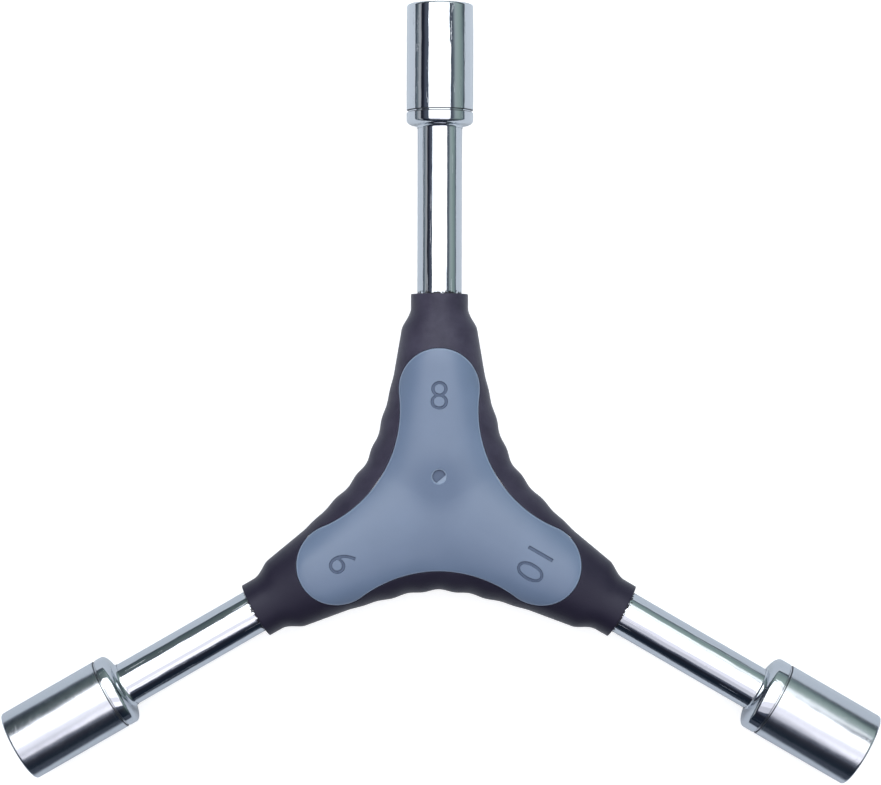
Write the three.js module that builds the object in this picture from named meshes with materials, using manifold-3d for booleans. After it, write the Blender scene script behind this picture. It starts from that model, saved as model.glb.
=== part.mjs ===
// Y socket wrench: three fixed sockets, 8, 9 and 10 mm, on round bars that meet in a moulded hub.
// Millimetres, +Z up. The tool lies flat, its 8 mm arm along +Y, its hub's rear land on z = 0,
// and the three bar axes cross above the origin.

import * as THREE from "three";
import { mergeVertices } from "three/addons/utils/BufferGeometryUtils.js";
import Module from "manifold-3d";

const wasm = await Module();
wasm.setup();

// Sockets: width across the hex flats, wall outside the hex corners, and how far the mouth lies
// from the middle of the hub
const hexSmall = 8;
const hexMiddle = 9;
const hexLarge = 10;
const wallSmall = 1.38;
const wallMiddle = 1.42;
const wallLarge = 1.2;
const reachSmall = 90.1;
const reachMiddle = 87.1;
const reachLarge = 87.9;
const lengthSmall = 21.8;
const lengthMiddle = 21.7;
const lengthLarge = 21.9;
const hexDepth = 14;
const barSeatDepth = 6.5;
const mouthChamfer = 0.35;
const mouthRounding = 0.45;

// Collar at the back of each socket: a flat rim round the bar, a short steep shoulder from the rim
// to the full width, and a turned groove. The roundness runs from 0, a plain cone, to 1, a quarter
// of an ellipse.
const rimSmall = 0.6;
const rimMiddle = 0.8;
const rimLarge = 0.6;
const shoulderSmall = 0.95;
const shoulderMiddle = 1;
const shoulderLarge = 1;
const shoulderRoundnessSmall = 1;
const shoulderRoundnessMiddle = 0.35;
const shoulderRoundnessLarge = 0.35;
const collarSmall = 2.3;
const collarMiddle = 2.3;
const collarLarge = 3.15;
const grooveWidth = 0.5;
const grooveDepth = 0.3;

// Bars: bright round steel, with two flats and a ring groove inside the hub that the core grips
const barRadius = 4;
const barInnerEnd = 6;
const barEndChamfer = 0.5;
const flatLength = 10;
const flatDepth = 0.9;
const anchorGrooveStart = 20;
const anchorGrooveLength = 2.5;
const anchorGrooveDepth = 0.8;
const fitGap = 0.25;

// Hub in plan: three concave sides with soft scallops, arms that taper, flare down and end in necks
const waistRadius = 15.3;
const sideBend = 5.8;
const scallopPitch = 5.65;
const scallopRise = 0.36;
const neckEnd = 38;
const neckLength = 2.4;
const flareLength = 4;
const neckWall = 1.15;

// Hub in section: it is thickest in the middle, falls off along the arms and turns round over the
// rounding length before each neck
const hubHalfThickness = 7.25;
const armFall = 0.75;
const roundingLength = 10.6;
const inlayProud = 0.25;
const rearLandDepth = 0.2;

// Inlay: the core's face, a round lobe on each arm and a concave arc between each two lobes
const lobeReach = 28.2;
const lobeSkin = 0.95;
const sideBand = 3.7;
const gateRadius = 1.5;
const gateDepth = 0.8;
const gateOffset = 5.4;

// Slopes and forms that are shares of the sizes above
const grooveSlopeShare = 0.33;
const sideSlopeShare = 0.31;
const scallopsPerHalfSideShare = 2.87;
const armTaperShare = 0.17;
const hubFullnessShare = 2.1;
const neckFullnessShare = 2;
const scallopFadeShare = 4;

// How finely round forms are cut into flats
const turnedSteps = 36;
const scallopedSideSteps = 21;
const plainSideSteps = 8;
const taperSteps = 5;
const flareSteps = 6;
const sectionSteps = 7;
const arcSteps = 12;
const gateSteps = 18;
const roundingSteps = 3;
const shoulderSteps = 6;

// Sizes that follow from the ones above
const quarterTurn = Math.PI / 2;
const armSpacing = (2 * Math.PI) / 3;
const halfSpacing = armSpacing / 2;
const faceHeight = hubHalfThickness + inlayProud;
const barAxisHeight = faceHeight - rearLandDepth;
const neckRadius = barRadius + neckWall;
const flareEnd = neckEnd - neckLength;
const flareStart = flareEnd - flareLength;
const roundingStart = flareEnd - roundingLength;
const cutOverrun = barRadius;

const arms = [
  {
    label: "8mm", turn: 0, hex: hexSmall, wall: wallSmall, reach: reachSmall, length: lengthSmall,
    rim: rimSmall, shoulder: shoulderSmall, roundness: shoulderRoundnessSmall,
    collar: collarSmall, finish: "polished",
  },
  {
    label: "9mm", turn: armSpacing, hex: hexMiddle, wall: wallMiddle, reach: reachMiddle,
    length: lengthMiddle, rim: rimMiddle, shoulder: shoulderMiddle,
    roundness: shoulderRoundnessMiddle, collar: collarMiddle,
    finish: "satin",
  },
  {
    label: "10mm", turn: -armSpacing, hex: hexLarge, wall: wallLarge, reach: reachLarge,
    length: lengthLarge, rim: rimLarge, shoulder: shoulderLarge,
    roundness: shoulderRoundnessLarge, collar: collarLarge,
    finish: "satin",
  },
];

// Solids and meshes

// A closed geometry becomes a solid once its seams are welded and its empty triangles are gone.
function solidOf(geometry) {
  const bare = geometry.index ? geometry.toNonIndexed() : geometry.clone();
  bare.deleteAttribute("normal");
  bare.deleteAttribute("uv");
  const welded = mergeVertices(bare);
  const corners = welded.index.array;
  const kept = [];
  for (let i = 0; i < corners.length; i += 3) {
    const [a, b, c] = [corners[i], corners[i + 1], corners[i + 2]];
    if (a !== b && b !== c && c !== a) {
      kept.push(a, b, c);
    }
  }
  const vertProperties = new Float32Array(welded.attributes.position.array);
  const facing = signedVolume(vertProperties, kept) > 0 ? kept : flipped(kept);
  const triVerts = new Uint32Array(facing);
  return new wasm.Manifold(new wasm.Mesh({ numProp: 3, vertProperties, triVerts }));
}

function signedVolume(positions, corners) {
  const [a, b, c] = [new THREE.Vector3(), new THREE.Vector3(), new THREE.Vector3()];
  let sum = 0;
  for (let i = 0; i < corners.length; i += 3) {
    a.fromArray(positions, 3 * corners[i]);
    b.fromArray(positions, 3 * corners[i + 1]);
    c.fromArray(positions, 3 * corners[i + 2]);
    sum += a.dot(b.cross(c));
  }
  return sum;
}

function flipped(corners) {
  const result = [];
  for (let i = 0; i < corners.length; i += 3) {
    result.push(corners[i], corners[i + 2], corners[i + 1]);
  }
  return result;
}

function meshOf(name, solid, material) {
  const { vertProperties, triVerts } = solid.getMesh();
  const geometry = new THREE.BufferGeometry();
  geometry.setAttribute("position", new THREE.BufferAttribute(new Float32Array(vertProperties), 3));
  geometry.setIndex(new THREE.BufferAttribute(new Uint32Array(triVerts), 1));
  geometry.computeVertexNormals();
  const mesh = new THREE.Mesh(geometry, material);
  mesh.name = name;
  return mesh;
}

// A profile of [radius, distance along the arm] points is turned round the arm's axis, local +Y.
function turned(profile) {
  const points = profile.map(([radius, along]) => new THREE.Vector2(radius, along));
  return new THREE.LatheGeometry(points, turnedSteps);
}

// Sockets

// The outside runs from the flat rim over the shoulder, along the collar, through the groove and
// along the barrel to the rounded mouth. The bar's bore opens at the back.
function socketSolid({ hex, wall, reach, length, rim, shoulder, roundness, collar }) {
  const cornerRadius = hex / Math.sqrt(3);
  const radius = cornerRadius + wall;
  const back = reach - length;
  const rimRadius = barRadius + rim;
  const boreRadius = barRadius + fitGap;
  const grooveStart = back + collar;
  const profile = [[0, back + barSeatDepth], [boreRadius, back + barSeatDepth], [boreRadius, back]];
  for (let i = 0; i <= shoulderSteps; i += 1) {
    const share = i / shoulderSteps;
    const angle = quarterTurn * share;
    profile.push([
      rimRadius + (radius - rimRadius) * THREE.MathUtils.lerp(share, Math.sin(angle), roundness),
      back + shoulder * THREE.MathUtils.lerp(share, 1 - Math.cos(angle), roundness),
    ]);
  }
  profile.push(
    [radius, grooveStart],
    [radius - grooveDepth, grooveStart + grooveSlopeShare * grooveWidth],
    [radius - grooveDepth, grooveStart + (1 - grooveSlopeShare) * grooveWidth],
    [radius, grooveStart + grooveWidth],
  );
  for (let i = 0; i <= roundingSteps; i += 1) {
    const angle = (quarterTurn * i) / roundingSteps;
    profile.push([
      radius - mouthRounding * (1 - Math.cos(angle)),
      reach - mouthRounding * (1 - Math.sin(angle)),
    ]);
  }
  profile.push([0, reach]);

  const leadRadius = cornerRadius + mouthChamfer;
  const leadCone = [
    [0, reach - leadRadius],
    [leadRadius, reach],
    [leadRadius, reach + cutOverrun],
    [0, reach + cutOverrun],
  ];
  return solidOf(turned(profile))
    .subtract(solidOf(hexBar(cornerRadius, reach - hexDepth, reach + cutOverrun)))
    .subtract(solidOf(turned(leadCone)));
}

// A hexagonal bar along local +Y, two of its corners pointing up and down.
function hexBar(cornerRadius, start, end) {
  const outline = new THREE.Shape();
  for (let i = 0; i < 6; i += 1) {
    const angle = quarterTurn + (i * Math.PI) / 3;
    const corner = [cornerRadius * Math.cos(angle), cornerRadius * Math.sin(angle)];
    if (i === 0) {
      outline.moveTo(...corner);
    } else {
      outline.lineTo(...corner);
    }
  }
  outline.closePath();
  const bar = new THREE.ExtrudeGeometry(outline, { depth: end - start, bevelEnabled: false });
  return bar.rotateX(-quarterTurn).translate(0, start, 0);
}

// Bars

// One form serves the bar and, grown by the fit gap, the pocket that the core keeps for it.
function barSolid({ reach, length }, grown = 0) {
  const radius = barRadius + grown;
  const innerEnd = barInnerEnd - grown;
  const outerEnd = reach - length + barSeatDepth - fitGap;
  const grooveStart = anchorGrooveStart + grown;
  const grooveEnd = anchorGrooveStart + anchorGrooveLength - grown;
  const grooveRadius = radius - anchorGrooveDepth;
  const blank = solidOf(turned([
    [0, innerEnd],
    [radius - barEndChamfer, innerEnd],
    [radius, innerEnd + barEndChamfer],
    [radius, grooveStart],
    [grooveRadius, grooveStart],
    [grooveRadius, grooveEnd],
    [radius, grooveEnd],
    [radius, outerEnd - barEndChamfer],
    [radius - barEndChamfer, outerEnd],
    [0, outerEnd],
  ]));
  const flatHeight = barRadius - flatDepth + grown;
  const flatEnd = barInnerEnd + flatLength - grown;
  const relief = new THREE.BoxGeometry(2 * cutOverrun + radius, flatEnd, cutOverrun);
  const lift = flatHeight + cutOverrun / 2;
  const above = solidOf(relief.clone().translate(0, flatEnd / 2, lift));
  const below = solidOf(relief.clone().translate(0, flatEnd / 2, -lift));
  return blank.subtract(above).subtract(below);
}

// Hub surface

// Place on a concave side's mean line, in the frame of its arm: q is the distance from the centre
// along the bisector of two arms, and p runs from the bisector towards the arm.
function sidePoint(p) {
  const q = waistRadius + sideSlopeShare * (Math.hypot(p, sideBend) - sideBend);
  const slope = (sideSlopeShare * p) / Math.hypot(p, sideBend);
  const along = q * Math.cos(halfSpacing) + p * Math.sin(halfSpacing);
  const across = q * Math.sin(halfSpacing) - p * Math.cos(halfSpacing);
  const outward = new THREE.Vector2(
    Math.cos(halfSpacing) - slope * Math.sin(halfSpacing),
    Math.sin(halfSpacing) + slope * Math.cos(halfSpacing),
  ).normalize();
  return { along, across, outward };
}

const sideEnd = scallopsPerHalfSideShare * scallopPitch;
const notch = sidePoint(sideEnd);

// Both are 1 over the hub and 0 on the neck. The width falls along the flare alone, while the
// section starts to thin and turn round earlier, so that the shoulder of the arm is soft.
function wideness(along) {
  return 1 - THREE.MathUtils.smoothstep(along, flareStart, flareEnd);
}

function fullness(along) {
  return 1 - THREE.MathUtils.smoothstep(along, roundingStart, flareEnd);
}

function armHalfWidth(along) {
  const tapered = notch.across - armTaperShare * (along - notch.along);
  return neckRadius + (tapered - neckRadius) * wideness(along);
}

function armHalfThickness(along) {
  const crowned = hubHalfThickness - armFall * (along / lobeReach) ** 2;
  return neckRadius + (crowned - neckRadius) * fullness(along);
}

// A station is one section of the surface, from a point of the outline to a point of the arm's
// ridge. The sections of a concave side fan out from the hub's centre, and the others stand
// square to the arm.
function sideStation(share, scalloped) {
  const p = share * sideEnd;
  const { along, across, outward } = sidePoint(p);
  const endPull = sideEnd / notch.along;
  const ridge = notch.along * ((3 - endPull) * share ** 2 + (endPull - 2) * share ** 3);
  const wave = -Math.cos((2 * Math.PI * p) / scallopPitch) * (1 - share ** 2) * (scallopRise / 2);
  return { along, across, outward, ridge, scallop: scalloped ? wave : 0 };
}

function armStation(along) {
  const outward = new THREE.Vector2(0, 1);
  return { along, across: armHalfWidth(along), outward, ridge: along, scallop: 0 };
}

function hubStations(scalloped) {
  const stations = [];
  const sideSteps = scalloped ? scallopedSideSteps : plainSideSteps;
  for (let i = 0; i < sideSteps; i += 1) {
    stations.push(sideStation(i / sideSteps, scalloped));
  }
  for (let i = 0; i < taperSteps; i += 1) {
    stations.push(armStation(THREE.MathUtils.lerp(notch.along, flareStart, i / taperSteps)));
  }
  for (let i = 0; i < flareSteps; i += 1) {
    stations.push(armStation(THREE.MathUtils.lerp(flareStart, flareEnd, i / flareSteps)));
  }
  stations.push(armStation(flareEnd), armStation(neckEnd));
  return stations;
}

// Level 0 is the outline at mid-height and the last level is the ridge. Each section is a quarter
// of a superellipse, round on the neck and fuller on the hub; the scallops fade out as it rises.
function sectionPoint(station, level, proud) {
  const { along, across, outward, ridge, scallop } = station;
  const angle = (quarterTurn * level) / sectionSteps;
  const exponent = 2 / THREE.MathUtils.lerp(neckFullnessShare, hubFullnessShare, fullness(ridge));
  const spread = level === sectionSteps ? 0 : Math.cos(angle) ** exponent;
  const lift = level === 0 ? 0 : Math.sin(angle) ** exponent;
  const push = level === sectionSteps ? 0 : scallop * Math.cos(angle) ** scallopFadeShare;
  return new THREE.Vector3(
    ridge + (along - ridge) * spread + outward.x * push,
    across * spread + outward.y * push,
    (armHalfThickness(ridge) + proud) * lift,
  );
}

// The whole hub as one closed surface: three arms, each with two mirrored sides and two mirrored
// faces, and a flat end on each neck.
function hubGeometry({ scalloped, proud }) {
  const stations = hubStations(scalloped);
  const rows = stations.map((station) => {
    const row = [];
    for (let level = 0; level <= sectionSteps; level += 1) {
      row.push(sectionPoint(station, level, proud));
    }
    return row;
  });
  const positions = [];
  for (const { turn } of arms) {
    for (const side of [1, -1]) {
      for (const face of [1, -1]) {
        const place = ({ x, y, z }) => armPlace(x, side * y, face * z, turn);
        const put = (a, b, c) => {
          const corners = side * face > 0 ? [a, b, c] : [a, c, b];
          corners.forEach((corner) => positions.push(...place(corner)));
        };
        for (let i = 0; i < rows.length - 1; i += 1) {
          for (let j = 0; j < sectionSteps; j += 1) {
            put(rows[i][j], rows[i][j + 1], rows[i + 1][j + 1]);
            put(rows[i][j], rows[i + 1][j + 1], rows[i + 1][j]);
          }
        }
        const mouth = rows[rows.length - 1];
        const middle = new THREE.Vector3(neckEnd, 0, 0);
        for (let j = 0; j < sectionSteps; j += 1) {
          put(middle, mouth[j], mouth[j + 1]);
        }
      }
    }
  }
  const geometry = new THREE.BufferGeometry();
  geometry.setAttribute("position", new THREE.Float32BufferAttribute(positions, 3));
  return geometry;
}

// Along and across an arm become x and y. Rounding to a weld step makes the points that two
// sections share exactly alike.
const weldStepsPerUnit = 1e5;
function armPlace(along, across, height, turn) {
  const [sin, cos] = [Math.sin(turn), Math.cos(turn)];
  const place = [-across * cos - along * sin, along * cos - across * sin, height];
  return place.map((value) => Math.round(value * weldStepsPerUnit) / weldStepsPerUnit);
}

// Inlay

// The outline has a lobe of the same radius on each arm and, tangent to two lobes, an arc that
// is centred on the bisector between them. A growth moves the whole outline outwards.
function inlayOutline(growth) {
  const lobeRadius = notch.across - lobeSkin;
  const lobeCentre = lobeReach - lobeRadius;
  const inner = waistRadius - sideBand;
  const sideRadius = (inner ** 2 + lobeCentre ** 2 - inner * lobeCentre - lobeRadius ** 2)
    / (lobeCentre + 2 * lobeRadius - 2 * inner);
  const sideCentre = inner + sideRadius;
  const tangent = Math.atan2(
    sideCentre * Math.sin(halfSpacing),
    sideCentre * Math.cos(halfSpacing) - lobeCentre,
  );
  const sweep = tangent - halfSpacing;
  const points = [];
  const addArc = (centreDistance, centreAngle, radius, start, end) => {
    for (let i = 0; i < arcSteps; i += 1) {
      const angle = THREE.MathUtils.lerp(start, end, i / arcSteps);
      points.push(new THREE.Vector2(
        centreDistance * Math.cos(centreAngle) + radius * Math.cos(angle),
        centreDistance * Math.sin(centreAngle) + radius * Math.sin(angle),
      ));
    }
  };
  for (const { turn } of arms) {
    const arm = quarterTurn + turn;
    const bisector = arm + halfSpacing;
    addArc(lobeCentre, arm, lobeRadius + growth, arm - tangent, arm + tangent);
    const facing = bisector + Math.PI;
    addArc(sideCentre, bisector, sideRadius - growth, facing + sweep, facing - sweep);
  }
  return new THREE.Shape(points);
}

function inlayPrism(growth) {
  const height = 2 * (hubHalfThickness + cutOverrun);
  const extrusion = { depth: height, bevelEnabled: false };
  const prism = new THREE.ExtrudeGeometry(inlayOutline(growth), extrusion);
  return solidOf(prism.translate(0, 0, -height / 2));
}

function alongArm(solid, { turn }) {
  return solid.rotate([0, 0, THREE.MathUtils.radToDeg(turn)]);
}

// The core fills the inlay's outline from face to face. Its rear is cut to a flat land, its front
// has the round mark of the moulding gate, and each bar sits in a pocket of its own shape.
function coreSolid() {
  let core = solidOf(hubGeometry({ scalloped: false, proud: inlayProud })).intersect(inlayPrism(0));
  const floorWidth = 4 * lobeReach;
  const floor = new THREE.BoxGeometry(floorWidth, floorWidth, cutOverrun);
  core = core.subtract(solidOf(floor.translate(0, 0, -barAxisHeight - cutOverrun / 2)));
  const gateHeight = gateDepth + cutOverrun;
  const gate = new THREE.CylinderGeometry(gateRadius, gateRadius, gateHeight, gateSteps);
  gate.rotateX(quarterTurn).translate(0, gateOffset, faceHeight - gateDepth + gateHeight / 2);
  core = core.subtract(solidOf(gate));
  for (const arm of arms) {
    core = core.subtract(alongArm(barSolid(arm, fitGap), arm));
  }
  return core;
}

// The soft grip wraps the core's side and runs out along each bar as a neck.
function gripSolid() {
  let grip = solidOf(hubGeometry({ scalloped: true, proud: 0 })).subtract(inlayPrism(fitGap));
  const sleeve = solidOf(turned([
    [0, barInnerEnd],
    [barRadius + fitGap, barInnerEnd],
    [barRadius + fitGap, neckEnd + cutOverrun],
    [0, neckEnd + cutOverrun],
  ]));
  for (const arm of arms) {
    grip = grip.subtract(alongArm(sleeve, arm));
  }
  return grip;
}

// Assembly

const looks = {
  polished: { color: 0xd3d7db, roughness: 0.08, metalness: 1 },
  satin: { color: 0xc9cdd2, roughness: 0.25, metalness: 1 },
  core: { color: 0x8093b3, roughness: 0.5, metalness: 0 },
  grip: { color: 0x37353f, roughness: 0.75, metalness: 0 },
};

function material(look) {
  return new THREE.MeshStandardMaterial(looks[look]);
}

const wrench = new THREE.Group();
wrench.position.z = barAxisHeight;
wrench.add(meshOf("core", coreSolid(), material("core")));
wrench.add(meshOf("soft_grip", gripSolid(), material("grip")));
for (const arm of arms) {
  const branch = new THREE.Group();
  branch.rotation.z = arm.turn;
  branch.add(meshOf(`shank_${arm.label}`, barSolid(arm), material("polished")));
  branch.add(meshOf(`socket_${arm.label}`, socketSolid(arm), material(arm.finish)));
  wrench.add(branch);
}

export default wrench;
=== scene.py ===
import math

import bmesh
import bpy
from mathutils import Matrix, Vector


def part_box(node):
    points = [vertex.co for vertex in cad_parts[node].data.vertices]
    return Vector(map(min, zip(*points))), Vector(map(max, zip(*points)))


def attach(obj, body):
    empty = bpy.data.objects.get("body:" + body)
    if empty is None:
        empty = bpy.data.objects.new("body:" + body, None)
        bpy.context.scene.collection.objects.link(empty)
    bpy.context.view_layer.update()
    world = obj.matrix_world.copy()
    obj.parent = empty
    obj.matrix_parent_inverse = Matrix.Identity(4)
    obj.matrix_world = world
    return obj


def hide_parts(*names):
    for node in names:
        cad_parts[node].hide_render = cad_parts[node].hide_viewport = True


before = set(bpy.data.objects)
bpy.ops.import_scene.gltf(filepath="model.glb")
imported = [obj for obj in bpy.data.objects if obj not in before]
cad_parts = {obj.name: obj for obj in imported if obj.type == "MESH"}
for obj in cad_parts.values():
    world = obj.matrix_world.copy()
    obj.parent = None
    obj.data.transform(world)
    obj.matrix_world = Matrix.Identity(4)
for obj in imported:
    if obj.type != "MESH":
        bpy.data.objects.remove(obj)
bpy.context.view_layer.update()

# Studio: a white sheet on a table under soft ceiling panels, brightest over the far side. The room
# has a light wall, a dark wall, a doorway and two dark curtains, so that the chrome has light and
# dark to mirror, the sheet's edges too. The camera looks straight down on the hub.
mm = 0.001
scene = bpy.context.scene
scene.view_settings.view_transform = "Standard"
bar_low, bar_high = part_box("shank_8mm")
axis_height = (bar_low.z + bar_high.z) / 2

camera_distance = 520 * mm
camera_over = (0.22 * mm, 20.3 * mm)
camera_roll = math.radians(0.13)
photo_pixels_across = 881
pixel_size = 0.18 * mm
view_width = photo_pixels_across * pixel_size
camera_data = bpy.data.cameras.new("camera")
camera_data.sensor_width = 36
camera_data.lens = camera_data.sensor_width * camera_distance / view_width
camera_data.clip_start = 10 * mm
camera_data.clip_end = 10
camera = bpy.data.objects.new("camera", camera_data)
camera.location = (*camera_over, axis_height + camera_distance)
camera.rotation_euler = (0, 0, camera_roll)
scene.collection.objects.link(camera)
scene.camera = camera

lamp_height = 1.0
plain_white, near_white = (1, 1, 1), (1, 0.95, 1)
panels = (
    ("far panel", -0.81, 0.62, 0.3, 1.19, 3.4, plain_white),
    ("far right panel", 0.62, 1.05, 0.6, 1.62, 1.2, plain_white),
    ("middle panel", -0.81, 0.76, -0.2, 0.3, 2.0, plain_white),
    ("near panel", -0.75, 0.76, -0.5, -0.2, 1.15, near_white),
    ("near left panel", -0.75, 0.0, -0.98, -0.5, 0.75, near_white),
    ("near right strip", 0.0, 0.76, -0.93, -0.5, 1.6, near_white),
)
for name, left, right, near, far, radiance, colour in panels:
    lamp_data = bpy.data.lights.new(name, "AREA")
    lamp_data.shape = "RECTANGLE"
    lamp_data.size = (right - left) * lamp_height
    lamp_data.size_y = (far - near) * lamp_height
    lamp_data.energy = radiance * math.pi * lamp_data.size * lamp_data.size_y
    lamp_data.color = colour
    lamp = bpy.data.objects.new(name, lamp_data)
    lamp.location = ((left + right) / 2 * lamp_height, (near + far) / 2 * lamp_height, lamp_height)
    scene.collection.objects.link(lamp)


def add_node(tree, kind, inputs, **settings):
    """Add a shader node. Each input takes a plain value or the output of another node."""
    node = tree.nodes.new("ShaderNode" + kind)
    for name, value in settings.items():
        setattr(node, name, value)
    for seat, value in inputs.items():
        if isinstance(value, bpy.types.NodeSocket):
            tree.links.new(value, node.inputs[seat])
        else:
            node.inputs[seat].default_value = value
    return node


def add_ramp(tree, value, stops):
    """Turn a value into a colour, by stops of (place, colour) pairs."""
    node = add_node(tree, "ValToRGB", {0: value})
    elements = node.color_ramp.elements
    while len(elements) > 1:
        elements.remove(elements[-1])
    for number, (place, colour) in enumerate(stops):
        stop = elements[0] if number == 0 else elements.new(place)
        stop.position = place
        stop.color = (*colour, 1)
    return node.outputs["Color"]


def combined(tree, operation, *values):
    """One sum on plain numbers and the outputs of other nodes."""
    return add_node(tree, "Math", dict(enumerate(values)), operation=operation).outputs[0]


def mapped(tree, value, low, high, new_low=0, new_high=1, interpolation="SMOOTHSTEP"):
    """Carry a value from one span to another."""
    spans = {"Value": value, "From Min": low, "From Max": high, "To Min": new_low, "To Max": new_high}
    return add_node(tree, "MapRange", spans, interpolation_type=interpolation).outputs["Result"]


def mixed(tree, share, first, second, blend="MIX"):
    """Mix two colours, each plain or the output of another node."""
    return add_node(tree, "Mix", {"Factor": share, 6: first, 7: second}, data_type="RGBA",
                    blend_type=blend).outputs[2]


world = bpy.data.worlds.new("room")
world.use_nodes = True
scene.world = world
room_tree = world.node_tree
room_tree.nodes.clear()
direction = add_node(room_tree, "TexCoord", {}).outputs["Generated"]
upwards = add_node(room_tree, "SeparateXYZ", {0: direction}).outputs["Z"]
lit_wall = add_ramp(room_tree, upwards, [
    (0.0, (0.2, 0.26, 0.28)), (0.15, (0.27, 0.35, 0.34)), (0.3, (0.35, 0.45, 0.42)),
    (0.45, (0.43, 0.53, 0.5)), (0.57, (0.45, 0.53, 0.53)), (0.69, (0.12, 0.14, 0.17)),
])
dark_wall = add_ramp(room_tree, upwards, [
    (0.0, (0.014, 0.024, 0.038)), (0.28, (0.014, 0.02, 0.034)), (0.5, (0.02, 0.022, 0.034)),
    (0.62, (0.1, 0.11, 0.15)), (0.75, (0.1, 0.12, 0.16)),
])
doorway = add_ramp(room_tree, upwards, [
    (0.0, (0.17, 0.2, 0.22)), (0.14, (0.18, 0.22, 0.23)), (0.2, (0.46, 0.47, 0.48)),
    (0.34, (0.46, 0.46, 0.47)), (0.38, (0, 0, 0)),
])
curtain_cloth = (0.014, 0.02, 0.034, 1)
lit_azimuth = math.radians(45)
lit_spread = (-0.35, 0.9)
doorway_azimuth = math.radians(180)
doorway_spread = (0.72, 0.8)
curtain_azimuths = (math.radians(30), math.radians(150))
curtain_spread = (0.93, 0.97)


def towards(azimuth, nothing, whole):
    """How far a direction faces an azimuth: 0 at or below one cosine, 1 at or above the other."""
    flat = (math.cos(azimuth), math.sin(azimuth), 0)
    facing = add_node(room_tree, "VectorMath", {0: direction, 1: flat}, operation="DOT_PRODUCT")
    return mapped(room_tree, facing.outputs["Value"], nothing, whole)


shade = mixed(room_tree, towards(lit_azimuth, *lit_spread), dark_wall, lit_wall)
shade = mixed(room_tree, towards(doorway_azimuth, *doorway_spread), shade, doorway, "ADD")
for azimuth in curtain_azimuths:
    shade = mixed(room_tree, towards(azimuth, *curtain_spread), shade, curtain_cloth)
room_light = add_node(room_tree, "Background", {"Color": shade}).outputs[0]
backdrop = add_node(room_tree, "Background", {"Color": (0.93, 0.93, 0.94, 1)}).outputs[0]
seen = add_node(room_tree, "LightPath", {}).outputs["Is Camera Ray"]
either = add_node(room_tree, "MixShader", {0: seen, 1: room_light, 2: backdrop}).outputs[0]
add_node(room_tree, "OutputWorld", {"Surface": either})

floor_half = 3.0
sheet_left, sheet_right, sheet_near, sheet_far = -110 * mm, 130 * mm, -62 * mm, 150 * mm
sheet_edge = 8 * mm
sheet_near_colour, sheet_far_colour = (0.53, 0.57, 0.62, 1), (0.66, 0.7, 0.73, 1)
table_colour = (0.05, 0.06, 0.08, 1)
camera_glow = 0.7
bm = bmesh.new()
bmesh.ops.create_grid(bm, x_segments=1, y_segments=1, size=floor_half)
floor_mesh = bpy.data.meshes.new("table top")
bm.to_mesh(floor_mesh)
bm.free()
floor_material = bpy.data.materials.new("white table top")
floor_material.use_nodes = True
tree = floor_material.node_tree
floor_shader = tree.nodes["Principled BSDF"]
floor_shader.inputs["Roughness"].default_value = 0.8
floor_shader.inputs["Specular IOR Level"].default_value = 0.1
floor_shader.inputs["Emission Color"].default_value = (0.99, 0.97, 0.94, 1)
seen = add_node(tree, "LightPath", {})
glow = combined(tree, "MULTIPLY", seen.outputs["Is Camera Ray"], camera_glow)
tree.links.new(glow, floor_shader.inputs["Emission Strength"])
place = add_node(tree, "TexCoord", {}).outputs["Object"]
away = add_node(tree, "SeparateXYZ", {0: place}).outputs["Y"]
# Painted shade: the sheet's colour darkens towards the near side.
farther = mapped(tree, away, sheet_near, sheet_far, interpolation="LINEAR")
sheet = mixed(tree, farther, sheet_near_colour, sheet_far_colour)
sheet_middle = ((sheet_left + sheet_right) / 2, (sheet_near + sheet_far) / 2, 0)
sheet_half = ((sheet_right - sheet_left) / 2, (sheet_far - sheet_near) / 2, 0)
beyond = place
for operation, amount in (("SUBTRACT", sheet_middle), ("ABSOLUTE", (0, 0, 0)),
                          ("SUBTRACT", sheet_half)):
    step = add_node(tree, "VectorMath", {0: beyond, 1: amount}, operation=operation)
    beyond = step.outputs["Vector"]
split = add_node(tree, "SeparateXYZ", {0: beyond})
farthest = combined(tree, "MAXIMUM", split.outputs["X"], split.outputs["Y"])
off_sheet = mapped(tree, farthest, 0, sheet_edge, interpolation="LINEAR")
mirrored = combined(tree, "MULTIPLY", off_sheet, seen.outputs["Is Glossy Ray"])
table = mixed(tree, mirrored, sheet, table_colour)
tree.links.new(table, floor_shader.inputs["Base Color"])
floor_mesh.materials.append(floor_material)
floor = bpy.data.objects.new("table_top", floor_mesh)
scene.collection.objects.link(floor)

# Bars: three lengths of 8 mm round steel, drawn, polished and plated with bright chrome. Inside
# the hub each has two milled flats and a ring groove that the moulding grips. The plating keeps a
# faint waviness and fine drawing lines, and at the necks a ragged film of rubber creeps over it.
arms = (
    {"label": "8mm", "turn": 0, "across_flats": 8 * mm, "satin": False},
    {"label": "9mm", "turn": math.radians(120), "across_flats": 9 * mm, "satin": True},
    {"label": "10mm", "turn": math.radians(-120), "across_flats": 10 * mm, "satin": True},
)
bar_radius = (bar_high.z - bar_low.z) / 2
bar_end_chamfer = 0.5 * mm
flat_length = 10 * mm
flat_depth = 0.9 * mm
anchor_groove_start = 20 * mm
anchor_groove_length = 2.5 * mm
anchor_groove_depth = 0.8 * mm
flash_length = 0.65 * mm
round_steps = 96
sharp_angle = math.radians(32)
weld = 0.002 * mm
hair = weld / 10


def span(node, turn):
    """Nearest and farthest reach of a CAD piece along its arm."""
    outwards = Vector((-math.sin(turn), math.cos(turn), 0))
    reaches = [outwards.dot(vertex.co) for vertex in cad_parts[node].data.vertices]
    return min(reaches), max(reaches)


neck_end = span("soft_grip", 0)[1]


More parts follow.
